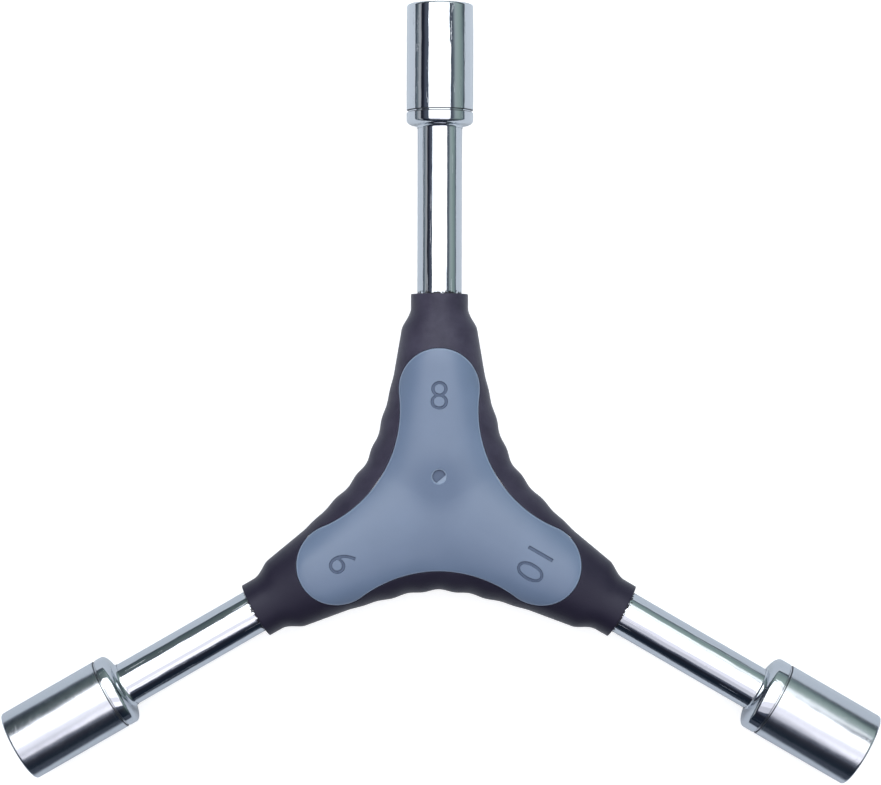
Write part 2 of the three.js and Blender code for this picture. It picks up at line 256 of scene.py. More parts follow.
def arm_place(turn):
    """Local +Z becomes the arm's outward direction, and local X stands upright."""
    lift = Matrix.Translation((0, 0, axis_height))
    return lift @ Matrix.Rotation(turn + math.pi / 2, 4, "Z") @ Matrix.Rotation(math.pi / 2, 4, "Y")


def turned(profile):
    """Spin a profile of (radius, along) points, noting how far along the profile each point is."""
    bm = bmesh.new()
    run = bm.verts.layers.float.new("run")
    corners = [bm.verts.new((radius, 0, along)) for radius, along in profile]
    for first, second in zip(corners, corners[1:]):
        bm.edges.new((first, second))
        second[run] = first[run] + (second.co - first.co).length
    bmesh.ops.spin(bm, geom=bm.verts[:] + bm.edges[:], cent=(0, 0, 0), axis=(0, 0, 1),
                   angle=2 * math.pi, steps=round_steps, use_merge=True)
    bmesh.ops.remove_doubles(bm, verts=bm.verts[:], dist=weld)
    bmesh.ops.recalc_face_normals(bm, faces=bm.faces[:])
    return bm


def unroll(bm):
    """Give a turned shape a flat map in metres: round the axis, and along its profile."""
    run = bm.verts.layers.float.get("run")
    flat = bm.loops.layers.uv.new("unrolled")
    for face in bm.faces:
        middle = face.calc_center_median()
        middle_angle = math.atan2(middle.y, middle.x)
        for corner in face.loops:
            x, y, _ = corner.vert.co
            angle = math.atan2(y, x) if math.hypot(x, y) > weld else middle_angle
            angle += 2 * math.pi * round((middle_angle - angle) / (2 * math.pi))
            corner[flat].uv = (angle * bar_radius, corner.vert[run])


def soften(bm, width, segments, least_angle=sharp_angle):
    """Round every edge that is sharper than the least angle, and hand back the roundings."""
    edges = [edge for edge in bm.edges if edge.calc_face_angle(0) > least_angle]
    made = bmesh.ops.bevel(bm, geom=edges, offset=width, offset_type="OFFSET", segments=segments,
                           profile=0.5, affect="EDGES", material=-1, clamp_overlap=True)
    return made["faces"]


def finished(name, bm, materials, node):
    """Shade a shape smooth between its sharp edges and let it stand for its CAD node."""
    for face in bm.faces:
        face.smooth = True
    for edge in bm.edges:
        edge.smooth = edge.calc_face_angle(0) < sharp_angle
    mesh = bpy.data.meshes.new(name)
    bm.to_mesh(mesh)
    bm.free()
    for material in materials:
        mesh.materials.append(material)
    piece = bpy.data.objects.new(name, mesh)
    scene.collection.objects.link(piece)
    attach(piece, "root")
    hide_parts(node)
    return piece


def new_group(name, inputs, outputs):
    """A shader node group with named float inputs, each with its default, and named outputs."""
    group = bpy.data.node_groups.new(name, "ShaderNodeTree")
    for label, value in inputs.items():
        socket = group.interface.new_socket(label, in_out="INPUT", socket_type="NodeSocketFloat")
        socket.default_value = value
    for label, kind in outputs.items():
        group.interface.new_socket(label, in_out="OUTPUT", socket_type=kind)
    return group, group.nodes.new("NodeGroupInput"), group.nodes.new("NodeGroupOutput")


plating_group, given, result = new_group(
    "plating",
    {"Ripple per Metre": 110, "Ripple Height": 110e-6, "Lines Round": 2600, "Lines Along": 22,
     "Line Height": 12e-6, "Score Depth": 7e-6, "Haze": 0.04, "Haze Spread": 0.05},
    {"Roughness": "NodeSocketFloat", "Normal": "NodeSocketVector"})
smears_per_metre = 420
score_low, score_high = 0.6, 0.63
place = add_node(plating_group, "TexCoord", {})
ripple = add_node(plating_group, "TexNoise", {
    "Vector": place.outputs["Object"], "Scale": given.outputs["Ripple per Metre"], "Detail": 2})
waves = add_node(plating_group, "Bump", {
    "Distance": given.outputs["Ripple Height"], "Height": ripple.outputs["Fac"]})
pull = add_node(plating_group, "CombineXYZ", {
    "X": given.outputs["Lines Round"], "Y": given.outputs["Lines Along"]})
stretched = add_node(plating_group, "VectorMath", {0: place.outputs["UV"], 1: pull.outputs[0]},
                     operation="MULTIPLY")
lines = add_node(plating_group, "TexNoise", {
    "Vector": stretched.outputs[0], "Scale": 1, "Detail": 4, "Roughness": 0.65})
relief = add_node(plating_group, "Bump", {
    "Distance": given.outputs["Line Height"], "Height": lines.outputs["Fac"],
    "Normal": waves.outputs["Normal"]})
scores = mapped(plating_group, lines.outputs["Fac"], score_low, score_high)
scored = add_node(plating_group, "Bump", {
    "Distance": given.outputs["Score Depth"], "Height": scores,
    "Normal": relief.outputs["Normal"]}, invert=True)
plating_group.links.new(scored.outputs["Normal"], result.inputs["Normal"])
smears = add_node(plating_group, "TexNoise", {
    "Vector": place.outputs["Object"], "Scale": smears_per_metre, "Detail": 4})
haze = combined(plating_group, "MULTIPLY_ADD", smears.outputs["Fac"], given.outputs["Haze Spread"],
                given.outputs["Haze"])
plating_group.links.new(haze, result.inputs["Roughness"])


def new_material(name, colour, metallic=0.0):
    """A material with a named Principled shader of one colour."""
    material = bpy.data.materials.new(name)
    material.use_nodes = True
    shader = material.node_tree.nodes["Principled BSDF"]
    shader.inputs["Base Color"].default_value = (*colour, 1)
    shader.inputs["Metallic"].default_value = metallic
    return material, shader


def place_group(shader, group_tree, values):
    """Put a shared group in a shader's material, and let it set roughness and normal."""
    tree = shader.id_data
    inputs = {label.replace("_", " "): value for label, value in values.items()}
    group = add_node(tree, "Group", inputs, node_tree=group_tree)
    tree.links.new(group.outputs["Roughness"], shader.inputs["Roughness"])
    tree.links.new(group.outputs["Normal"], shader.inputs["Normal"])
    return group


def source(shader, name):
    """The output that feeds one of a shader's inputs."""
    return shader.inputs[name].links[0].from_socket


def plated(name, colour, **values):
    """Chrome plate whose ripple and haze come from the shared group."""
    material, shader = new_material(name, colour, metallic=1.0)
    place_group(shader, plating_group, values)
    return material, shader


chrome_colour = (0.62, 0.655, 0.7)
flash_colour = (0.005, 0.004, 0.01)
flash_roughness = 0.5
flash_teeth_per_metre = 2400
tooth_low, tooth_high = 0.36, 0.68
drawn_chrome, bar_shader = plated("drawn bar chrome", chrome_colour)
tree = drawn_chrome.node_tree
place = add_node(tree, "TexCoord", {}).outputs["Object"]
reach = 0
for arm in arms:
    outwards = (-math.sin(arm["turn"]), math.cos(arm["turn"]), 0)
    along = add_node(tree, "VectorMath", {0: place, 1: outwards}, operation="DOT_PRODUCT")
    reach = combined(tree, "MAXIMUM", along.outputs["Value"], reach)
ragged = add_node(tree, "TexNoise", {"Vector": place, "Scale": flash_teeth_per_metre, "Detail": 3})
flash_end = mapped(tree, ragged.outputs["Fac"], tooth_low, tooth_high, neck_end,
                   neck_end + flash_length, interpolation="LINEAR")
flash = combined(tree, "LESS_THAN", reach, flash_end)
filmed = mixed(tree, flash, (*chrome_colour, 1), (*flash_colour, 1))
tree.links.new(filmed, bar_shader.inputs["Base Color"])
tree.links.new(combined(tree, "SUBTRACT", 1, flash), bar_shader.inputs["Metallic"])
dull = add_node(tree, "Mix", {
    "Factor": flash, "A": source(bar_shader, "Roughness"), "B": flash_roughness})
tree.links.new(dull.outputs["Result"], bar_shader.inputs["Roughness"])

for arm in arms:
    inner, outer = span(f"shank_{arm['label']}", arm["turn"])
    groove_end = anchor_groove_start + anchor_groove_length
    bm = turned([
        (0, inner),
        (bar_radius - bar_end_chamfer, inner),
        (bar_radius, inner + bar_end_chamfer),
        (bar_radius, inner + flat_length - weld),
        (bar_radius, inner + flat_length),
        (bar_radius, anchor_groove_start),
        (bar_radius - anchor_groove_depth, anchor_groove_start),
        (bar_radius - anchor_groove_depth, groove_end),
        (bar_radius, groove_end),
        (bar_radius, outer - bar_end_chamfer),
        (bar_radius - bar_end_chamfer, outer),
        (0, outer),
    ])
    for vertex in bm.verts:
        if vertex.co.z < inner + flat_length - weld / 2:
            flat_height = bar_radius - flat_depth
            vertex.co.x = max(-flat_height, min(flat_height, vertex.co.x))
    unroll(bm)
    bmesh.ops.transform(bm, matrix=arm_place(arm["turn"]), verts=bm.verts[:])
    finished(f"bar_{arm['label']}", bm, [drawn_chrome], f"shank_{arm['label']}")

# Sockets: turned from hexagon-broached steel, pressed on the bars and plated. A fine dull groove
# sets off a bright collar with a steep domed shoulder that a small fillet joins to the bar. The 9
# and 10 mm barrels have a softer shine than their collars, and the bores are duller still.
seat_gap = 0.08 * mm
bar_seat_depth = 6.5 * mm
rims = {"8mm": 0.6 * mm, "9mm": 0.8 * mm, "10mm": 0.6 * mm}
shoulders = {"8mm": 0.95 * mm, "9mm": 1 * mm, "10mm": 1.25 * mm}
roundness = {"8mm": 1, "9mm": 0.85, "10mm": 0.85}
joint_fillets = {"8mm": 0.5 * mm, "9mm": 0.8 * mm, "10mm": 0.3 * mm}
collars = {"8mm": 2.3 * mm, "9mm": 2.3 * mm, "10mm": 3.15 * mm}
groove_width = 0.5 * mm
groove_depth = 0.3 * mm
groove_slope = 0.165 * mm
mouth_rounding = 0.45 * mm
mouth_chamfer = 0.35 * mm
hex_depth = 14 * mm
hex_corner_relief = 0.12 * mm
drill_point = 0.5 * mm
rounding_steps = 8

socket_finishes = [
    plated("bright chrome", chrome_colour, Lines_Round=1500, Lines_Along=90, Line_Height=9e-6,
           Score_Depth=6e-6)[0],
    plated("satin chrome", chrome_colour, Haze=0.16, Haze_Spread=0.08, Lines_Round=900,
           Lines_Along=6000, Line_Height=6e-6, Score_Depth=3e-6)[0],
    plated("broached bore", (0.42, 0.44, 0.47), Haze=0.3, Haze_Spread=0.15, Lines_Round=3000,
           Lines_Along=60, Line_Height=12e-6)[0],
    # The groove's floor takes a darker, duller plating.
    plated("dark groove plating", (0.2, 0.21, 0.23), Haze=0.35, Haze_Spread=0.2, Lines_Round=300,
           Lines_Along=2500, Line_Height=6e-6)[0],
]
bright, satin, broached, dark_groove = range(len(socket_finishes))


def arc(centre_radius, centre_along, radius, start, end):
    """Points of a rounding in a turned profile."""
    points = []
    for step in range(rounding_steps + 1):
        angle = start + (end - start) * step / rounding_steps
        points.append((centre_radius + radius * math.cos(angle),
                       centre_along + radius * math.sin(angle)))
    return points


def hex_radius(angle, across_flats):
    """Distance from the axis to a hexagonal wall whose corners are slightly relieved."""
    from_flat = math.radians(30)
    turn = angle % (2 * from_flat) - from_flat
    corner = across_flats / math.sqrt(3) - hex_corner_relief
    return min(across_flats / 2 / math.cos(turn), corner)


for arm in arms:
    label, across_flats = arm["label"], arm["across_flats"]
    back, mouth = span(f"socket_{label}", arm["turn"])
    low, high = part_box(f"socket_{label}")
    radius = (high.z - low.z) / 2
    rim_radius = bar_radius + rims[label]
    bore_radius = bar_radius + seat_gap
    joint_fillet = joint_fillets[label]
    groove = back + collars[label]
    lead_radius = across_flats / math.sqrt(3) + mouth_chamfer
    quarter = math.pi / 2
    profile = [(0, back + bar_seat_depth), (bore_radius, back + bar_seat_depth)]
    profile += arc(bore_radius + joint_fillet, back - joint_fillet, joint_fillet, 2 * quarter,
                   quarter)
    for step in range(rounding_steps + 1):
        share = step / rounding_steps
        angle = quarter * share
        outwards = share + (math.sin(angle) - share) * roundness[label]
        along = share + (1 - math.cos(angle) - share) * roundness[label]
        profile.append((rim_radius + (radius - rim_radius) * outwards,
                        back + shoulders[label] * along))
    profile += [
        (radius, groove),
        (radius - groove_depth, groove + groove_slope),
        (radius - groove_depth, groove + groove_width - groove_slope),
        (radius, groove + groove_width),
    ]
    profile += arc(radius - mouth_rounding, mouth - mouth_rounding, mouth_rounding, 0, quarter)
    profile += [(lead_radius, mouth)]
    bm = turned(profile)
    for face in bm.faces:
        middle = face.calc_center_median()
        sunk = radius - groove_depth < middle.xy.length < radius - groove_depth / 4
        if sunk and groove < middle.z < groove + groove_width:
            face.material_index = dark_groove
        else:
            face.material_index = satin if middle.z > groove and arm["satin"] else bright

    rings = [
        lambda angle: (hex_radius(angle, across_flats),
                       mouth - lead_radius + hex_radius(angle, across_flats)),
        lambda angle: (hex_radius(angle, across_flats), mouth - hex_depth),
        lambda angle: (across_flats / 2, mouth - hex_depth),
        lambda angle: (0, mouth - hex_depth - drill_point),
    ]
    run = bm.verts.layers.float.get("run")
    rim = [edge for edge in bm.edges if edge.is_boundary]
    for ring in rings:
        grown = bmesh.ops.extrude_edge_only(bm, edges=rim)["geom"]
        rim = [item for item in grown if isinstance(item, bmesh.types.BMEdge)
               and all(vertex in grown for vertex in item.verts)]
        for vertex in {vertex for edge in rim for vertex in edge.verts}:
            angle = math.atan2(vertex.co.y, vertex.co.x)
            distance, along = ring(angle)
            place = Vector((distance * math.cos(angle), distance * math.sin(angle), along))
            vertex[run] += (place - vertex.co).length
            vertex.co = place
        for item in grown:
            if isinstance(item, bmesh.types.BMFace):
                item.material_index = broached
    bmesh.ops.remove_doubles(bm, verts=bm.verts[:], dist=weld)
    bmesh.ops.recalc_face_normals(bm, faces=bm.faces[:])
    unroll(bm)
    bmesh.ops.transform(bm, matrix=arm_place(arm["turn"]), verts=bm.verts[:])
    finished(f"turned_socket_{label}", bm, socket_finishes, f"socket_{label}")

# Hub surface: one form is shared by the rigid core and the soft grip. Three concave sides with
# soft scallops run out into arms that taper, flare down and end in round necks. Sections fan out
# from the middle of the hub over a side and stand square to the arm beyond it.
half_spacing = math.radians(60)
waist_radius = 15.3 * mm
side_bend = 5.8 * mm
scallop_pitch = 5.65 * mm
scallop_rise = 0.36 * mm
neck_length = 2.4 * mm
flare_length = 4 * mm
neck_wall = 1.15 * mm
rounding_length = 10.6 * mm
hub_half_thickness = 7.25 * mm
arm_fall = 0.75 * mm
lobe_reach = 28.2 * mm
side_slope_share = 0.31
scallops_per_half_side = 2.87
arm_taper_share = 0.17
hub_fullness_share = 2.1
neck_fullness_share = 2
scallop_fade_share = 4
neck_radius = bar_radius + neck_wall
flare_end = neck_end - neck_length
flare_start = flare_end - flare_length
rounding_start = flare_end - rounding_length
side_end = scallops_per_half_side * scallop_pitch
halvings = 40


def side_point(p):
    """Along, across and outward direction at a distance p from the bisector of two arms."""
    reach = math.hypot(p, side_bend)
    q = waist_radius + side_slope_share * (reach - side_bend)
    slope = side_slope_share * p / reach
    cos, sin = math.cos(half_spacing), math.sin(half_spacing)
    outward = Vector((cos - slope * sin, sin + slope * cos)).normalized()
    return q * cos + p * sin, q * sin - p * cos, outward


notch_along, notch_across, _ = side_point(side_end)


def fall(along, start):
    """1 up to the start, falling smoothly to 0 at the flare's end."""
    share = min(max((along - start) / (flare_end - start), 0), 1)
    return 1 - share * share * (3 - 2 * share)


def half_width(along):
    tapered = notch_across - arm_taper_share * (along - notch_along)
    return neck_radius + (tapered - neck_radius) * fall(along, flare_start)


def half_thickness(along):
    crowned = hub_half_thickness - arm_fall * (along / lobe_reach) ** 2
    return neck_radius + (crowned - neck_radius) * fall(along, rounding_start)


def section(u):
    """Foot, outward direction, ridge place and scallop push. u runs 0 to 1 over a side, 1 to 2 on."""
    if u < 1:
        p = u * side_end
        along, across, outward = side_point(p)
        pull = side_end / notch_along
        ridge = notch_along * ((3 - pull) * u ** 2 + (pull - 2) * u ** 3)
        wave = -math.cos(2 * math.pi * p / scallop_pitch) * (1 - u ** 2) / 2
        return along, across, outward, ridge, wave
    along = notch_along + (u - 1) * (neck_end - notch_along)
    return along, half_width(along), Vector((0, 1)), along, 0


def section_power(ridge):
    whole = fall(ridge, rounding_start)
    return neck_fullness_share + (hub_fullness_share - neck_fullness_share) * whole


def hub_point(u, angle, proud=0, scalloped=True):
    """A place on the hub in an arm's frame: angle 0 is the outline at mid-height, 90 the ridge."""
    along, across, outward, ridge, wave = section(u)
    exponent = 2 / section_power(ridge)
    cos, sin = max(math.cos(angle), 0), max(math.sin(angle), 0)
    spread = cos ** exponent
    push = wave * scallop_rise * cos ** scallop_fade_share if scalloped else 0
    return Vector((
        ridge + (along - ridge) * spread + outward.x * push,
        across * spread + outward.y * push,
        (half_thickness(ridge) + proud) * sin ** exponent,
    ))


def hub_place(along, across):
    """The u and angle of the surface point above a place in plan."""
    if along >= notch_along:
        u = 1 + (along - notch_along) / (neck_end - notch_along)
    else:
        low, high = 0.0, 1.0
        for _ in range(halvings):
            u = (low + high) / 2
            foot_along, foot_across, _, ridge, _ = section(u)
            turn = (foot_along - ridge) * across - foot_across * (along - ridge)
            low, high = (u, high) if turn < 0 else (low, u)
    foot_along, foot_across, _, ridge, _ = section(u)
    length = math.hypot(foot_along - ridge, foot_across)
    share = min(math.hypot(along - ridge, across) / length, 1)
    return u, math.acos(share ** (section_power(ridge) / 2))


# The inlay's outline has a round lobe on each arm and, tangent to two lobes, an arc centred on
# the bisector between them. It is listed for half an arm, from the lobe's tip to the bisector.
lobe_skin = 0.95 * mm
side_band = 3.7 * mm
lobe_radius = notch_across - lobe_skin
lobe_centre = lobe_reach - lobe_radius
inner = waist_radius - side_band
side_radius = ((inner ** 2 + lobe_centre ** 2 - inner * lobe_centre - lobe_radius ** 2)
               / (lobe_centre + 2 * lobe_radius - 2 * inner))
side_centre = inner + side_radius
tangent = math.atan2(side_centre * math.sin(half_spacing),
                     side_centre * math.cos(half_spacing) - lobe_centre)
sweep = tangent - half_spacing
tip_angle = math.radians(52)
tip_steps, lobe_steps, side_steps = 22, 26, 36


def outline(growth):
    """Points of half an arm's outline, moved outwards by the growth."""
    points = []
    for step in range(tip_steps + lobe_steps):
        if step < tip_steps:
            angle = tip_angle * step / tip_steps
        else:
            angle = tip_angle + (tangent - tip_angle) * (step - tip_steps) / lobe_steps
        points.append(Vector((lobe_centre + (lobe_radius + growth) * math.cos(angle),
                              (lobe_radius + growth) * math.sin(angle))))
    centre = side_centre * Vector((math.cos(half_spacing), math.sin(half_spacing)))
    for step in range(side_steps + 1):
        angle = half_spacing + math.pi + sweep * (1 - step / side_steps)
        points.append(centre + (side_radius - growth) * Vector((math.cos(angle), math.sin(angle))))
    return points


def woven(bm, rows):
    """A grid of faces whose corners lie at the given rows of points."""
    made = bmesh.ops.create_grid(bm, x_segments=len(rows[0]) - 1, y_segments=len(rows) - 1, size=1)
    for vertex, point in zip(made["verts"], (point for row in rows for point in row)):
        vertex.co = point


def all_arms(bm):
    """Mirror half an arm's front over its middle and to the rear, then repeat it on all arms."""
    bmesh.ops.mirror(bm, geom=bm.verts[:] + bm.edges[:] + bm.faces[:], axis="Y", merge_dist=weld)
    bmesh.ops.mirror(bm, geom=bm.verts[:] + bm.edges[:] + bm.faces[:], axis="Z", merge_dist=weld)
    bmesh.ops.spin(bm, geom=bm.verts[:] + bm.edges[:] + bm.faces[:], cent=(0, 0, 0),
                   axis=(0, 0, 1), angle=4 * half_spacing, steps=2, use_duplicate=True)
    bmesh.ops.remove_doubles(bm, verts=bm.verts[:], dist=weld)
    bmesh.ops.recalc_face_normals(bm, faces=bm.faces[:])


def object_of(name, bm):
    """A plain object that holds a shape while it is cut, with slots for up to three finishes."""
    mesh = bpy.data.meshes.new(name)
    for _ in range(3):
        mesh.materials.append(None)
    bm.to_mesh(mesh)
    bm.free()
    body = bpy.data.objects.new(name, mesh)
    scene.collection.objects.link(body)
    return body


def cut_away(bm, cutter):
    """Take a closed cutter out of a closed body, and hand back the new shape."""
    body, tool = object_of("body", bm), object_of("tool", cutter)
    step = body.modifiers.new("cut", "BOOLEAN")
    step.operation = "DIFFERENCE"
    step.solver = "EXACT"
    step.object = tool
    evaluated = body.evaluated_get(bpy.context.evaluated_depsgraph_get())
    shape = bmesh.new()
    shape.from_mesh(bpy.data.meshes.new_from_object(evaluated))
    bmesh.ops.dissolve_degenerate(shape, edges=shape.edges[:], dist=hair)
    for item in (body, tool):
        bpy.data.objects.remove(item)
    return shape


def put_round_tools(cutter, profile):
    """Add a turned tool along each arm to a cutter, in the hub's own frame."""
    for arm in arms:
        tool = turned(profile)
        turn = Matrix.Rotation(arm["turn"], 4, "Z") @ Matrix.Rotation(math.pi / 2, 4, "Y")
        bmesh.ops.transform(tool, matrix=turn, verts=tool.verts[:])
        tool_mesh = bpy.data.meshes.new("tool")
        tool.to_mesh(tool_mesh)
        tool.free()
        cutter.from_mesh(tool_mesh)


hub_to_part = Matrix.Translation((0, 0, axis_height)) @ Matrix.Rotation(math.pi / 2, 4, "Z")

# Core: a rigid grey-blue moulding that holds the three bars. Its front shows as the three-lobed
# inlay, a little proud of the grip, with the round mark of the gate where the plastic came in
# and each socket's size sunk into its lobe. Its rear is cut to a flat land that the tool lies on.
inlay_proud = 0.25 * mm
edge_rounding = 0.26 * mm
core_rings = 22
wall_rows = 3
gate_radius = 1.5 * mm
gate_depth = 0.7 * mm
gate_offset = 5.4 * mm
gate_slope = 0.12 * mm
dish_depth = 0.2 * mm
stub_radius = 1.25 * mm
stub_shear = 0.6 * mm
stub_turn = math.radians(-140)
blush_and_shade_place = 4 * mm
blush_and_shade_start = 2 * mm
blush_and_shade_end = 7.5 * mm
number_height = 7.4 * mm
number_place = 19.5 * mm
number_depth = 0.32 * mm
number_draft = 0.14 * mm
pocket_gap = 0.05 * mm
rounding_segments = 3
core_edge_angle = math.radians(24)
clouds_per_metre = 110
blush_dulling = 0.35
gate_shade_tint = (0.9, 0.9, 0.92)

grain_group, given, result = new_group(
    "moulded grain", {"Grain per Metre": 9000, "Grain Height": 6e-6, "Roughness": 0.45,
                      "Roughness Spread": 0.12},
    {"Roughness": "NodeSocketFloat", "Normal": "NodeSocketVector", "Mottle": "NodeSocketFloat"})
place = add_node(grain_group, "TexCoord", {}).outputs["Object"]
grain = add_node(grain_group, "TexNoise", {
    "Vector": place, "Scale": given.outputs["Grain per Metre"], "Detail": 3, "Roughness": 0.6})
relief = add_node(grain_group, "Bump", {
    "Distance": given.outputs["Grain Height"], "Height": grain.outputs["Fac"]})
grain_group.links.new(relief.outputs["Normal"], result.inputs["Normal"])
clouds = add_node(grain_group, "TexNoise", {"Vector": place, "Scale": clouds_per_metre, "Detail": 5})
rough = combined(grain_group, "MULTIPLY_ADD", clouds.outputs["Fac"],
                 given.outputs["Roughness Spread"], given.outputs["Roughness"])
grain_group.links.new(rough, result.inputs["Roughness"])
grain_group.links.new(clouds.outputs["Fac"], result.inputs["Mottle"])


def moulded(name, deep, pale, **values):
    """A moulding whose grain, roughness and faint mottle come from the shared group."""
    material, shader = new_material(name, deep)
    group = place_group(shader, grain_group, values)
    tint = mixed(material.node_tree, group.outputs["Mottle"], (*deep, 1), (*pale, 1))
    material.node_tree.links.new(tint, shader.inputs["Base Color"])
    return material, shader


inlay_plastic, inlay_shader = moulded("grey-blue moulding", (0.112, 0.157, 0.242),
                                      (0.148, 0.203, 0.308), Grain_per_Metre=7000,
                                      Grain_Height=5e-6, Roughness=0.32, Roughness_Spread=0.1)
tree = inlay_plastic.node_tree
place = add_node(tree, "TexCoord", {}).outputs["Object"]
# Round the gate the plastic is duller, as gate blush, and its colour is darkened there as painted
# shade.
blush_and_shade_middle = (0, blush_and_shade_place, axis_height + hub_half_thickness)
from_gate = add_node(tree, "VectorMath", {0: place, 1: blush_and_shade_middle}, operation="DISTANCE")
blush_and_shade = mapped(tree, from_gate.outputs["Value"], blush_and_shade_end, blush_and_shade_start)
dulled = combined(tree, "MULTIPLY_ADD", blush_and_shade, blush_dulling, source(inlay_shader, "Roughness"))
tree.links.new(dulled, inlay_shader.inputs["Roughness"])
darkened = mixed(tree, blush_and_shade, source(inlay_shader, "Base Color"), (*gate_shade_tint, 1), "MULTIPLY")
tree.links.new(darkened, inlay_shader.inputs["Base Color"])
# The sunk numerals and the gate stub's floor are painted darker, as painted shade in the recesses, on
# a rougher plastic.
recess_shade_plastic, _ = moulded("sunk marks painted shade", (0.07, 0.1, 0.17), (0.085, 0.12, 0.195),
                          Grain_per_Metre=6000, Grain_Height=9e-6, Roughness=0.6)
# Painted highlight: a paler plastic on the inlay's rounded edges and the gate's dish, where light
# catches them.
edge_highlight, _ = moulded("painted edge highlight", (0.19, 0.25, 0.355), (0.22, 0.285, 0.4),
                         Grain_per_Metre=5000, Grain_Height=4e-6, Roughness=0.3)
core_finishes = [inlay_plastic, recess_shade_plastic, edge_highlight]
sunk, highlit = 1, 2

edge_points = outline(0)
rows = []
for ring in range(core_rings + 1):
    share = ring / core_rings
    row = []
    for point in edge_points:
        u, angle = hub_place(point.x * share, point.y * share)
        height = hub_point(u, angle, inlay_proud, scalloped=False).z
        row.append(Vector((point.x * share, point.y * share, height)))
    rows.append(row)
for step in range(1, wall_rows + 1):
    rows.append([Vector((p.x, p.y, p.z * (1 - step / wall_rows))) for p in rows[core_rings]])
bm = bmesh.new()
woven(bm, rows)
all_arms(bm)
for face in soften(bm, edge_rounding, rounding_segments, core_edge_angle):
    face.material_index = highlit
rear = bmesh.ops.bisect_plane(bm, geom=bm.verts[:] + bm.edges[:] + bm.faces[:], dist=hair,
                              plane_co=(0, 0, -axis_height), plane_no=(0, 0, -1), clear_outer=True)
land = [item for item in rear["geom_cut"] if isinstance(item, bmesh.types.BMEdge)]
bmesh.ops.holes_fill(bm, edges=land)

face_height = hub_half_thickness + inlay_proud
dish = turned([
    (0, face_height - dish_depth),
    (gate_radius - dish_depth, face_height - dish_depth),
    (gate_radius + dish_depth, face_height + dish_depth),
    (0, face_height + dish_depth),
])
stub = turned([
    (0, face_height - gate_depth),
    (stub_radius - gate_slope, face_height - gate_depth),
    (stub_radius, face_height),
    (0, face_height),
])
shear = Vector((math.cos(stub_turn), math.sin(stub_turn), 0))
bmesh.ops.bisect_plane(stub, geom=stub.verts[:] + stub.edges[:] + stub.faces[:], dist=hair,
                       plane_co=shear * stub_shear, plane_no=shear, clear_outer=True)
bmesh.ops.holes_fill(stub, edges=[edge for edge in stub.edges if edge.is_boundary])
bmesh.ops.recalc_face_normals(stub, faces=stub.faces[:])
# The gate's dish takes the painted highlight, and its stub the darker recess finish.
for finish, tool in ((highlit, dish), (sunk, stub)):
    for face in tool.faces:
        face.material_index = finish
    bmesh.ops.translate(tool, vec=(gate_offset, 0, 0), verts=tool.verts[:])
    bm = cut_away(bm, tool)
cutter = bmesh.new()
for arm in arms:
    text = bpy.data.curves.new("size", "FONT")
    text.body = arm["label"].removesuffix("mm")
    text.size = number_height
    text.align_x, text.align_y = "CENTER", "CENTER"
    text.extrude = number_depth
    holder = bpy.data.objects.new("size", text)
    scene.collection.objects.link(holder)
    bpy.context.view_layer.update()
    letters = bmesh.new()
    letters.from_mesh(bpy.data.meshes.new_from_object(
        holder.evaluated_get(bpy.context.evaluated_depsgraph_get())))
    bpy.data.objects.remove(holder)
    bmesh.ops.remove_doubles(letters, verts=letters.verts[:], dist=weld)
    bmesh.ops.recalc_face_normals(letters, faces=letters.faces[:])
    walls = {vertex: sum((face.normal for face in vertex.link_faces if abs(face.normal.z) < 0.5),
                         Vector((0, 0, 0))) for vertex in letters.verts if vertex.co.z < 0}
    for vertex, outwards in walls.items():
        vertex.co -= outwards.normalized() * number_draft
    upright = Matrix.Translation((number_place, 0, 0)) @ Matrix.Rotation(-math.pi / 2, 4, "Z")
    bmesh.ops.transform(letters, matrix=upright, verts=letters.verts[:])
    for vertex in letters.verts:
        u, angle = hub_place(vertex.co.x, abs(vertex.co.y))
        vertex.co.z += hub_point(u, angle, inlay_proud, scalloped=False).z
    bmesh.ops.rotate(letters, matrix=Matrix.Rotation(arm["turn"], 4, "Z"), verts=letters.verts[:])
    for face in letters.faces:
        face.material_index = sunk
    letter_mesh = bpy.data.meshes.new("size")
    letters.to_mesh(letter_mesh)
    letters.free()
    cutter.from_mesh(letter_mesh)
pocket_radius = bar_radius + pocket_gap
pocket_start = span("shank_8mm", 0)[0]
put_round_tools(cutter, [(0, pocket_start), (pocket_radius, pocket_start),
                         (pocket_radius, neck_end), (0, neck_end)])
bm = cut_away(bm, cutter)
bmesh.ops.transform(bm, matrix=hub_to_part, verts=bm.verts[:])
finished("moulded_core", bm, core_finishes, "core")

# Grip: a soft black overmould round the core's side, with three necks that hug the bars. Its
# rounded lip meets the inlay in a fine crease, and its concave sides have soft finger scallops.
# Painted light pales its colour in patches towards the 8 mm arm, which the lamps light more.
window_gap = 0.04 * mm
lip_rounding = 0.2 * mm
collar_along = 30.4 * mm
strip_rows = 17
neck_rows = 30
path_samples = 60
light_pool_start = -20 * mm
light_pool_whole = 18 * mm
parting_line_width = 0.3 * mm
parting_line_height = 0.06 * mm
mouth_depth = 0.6 * mm
mouth_gap = 0.3 * mm
grip_edge_angle = math.radians(30)
painted_light_colour = (0.05, 0.046, 0.073)
light_patches_per_metre = 260
patch_low, patch_high = 0.3, 0.7
thinnest_light = 0.45


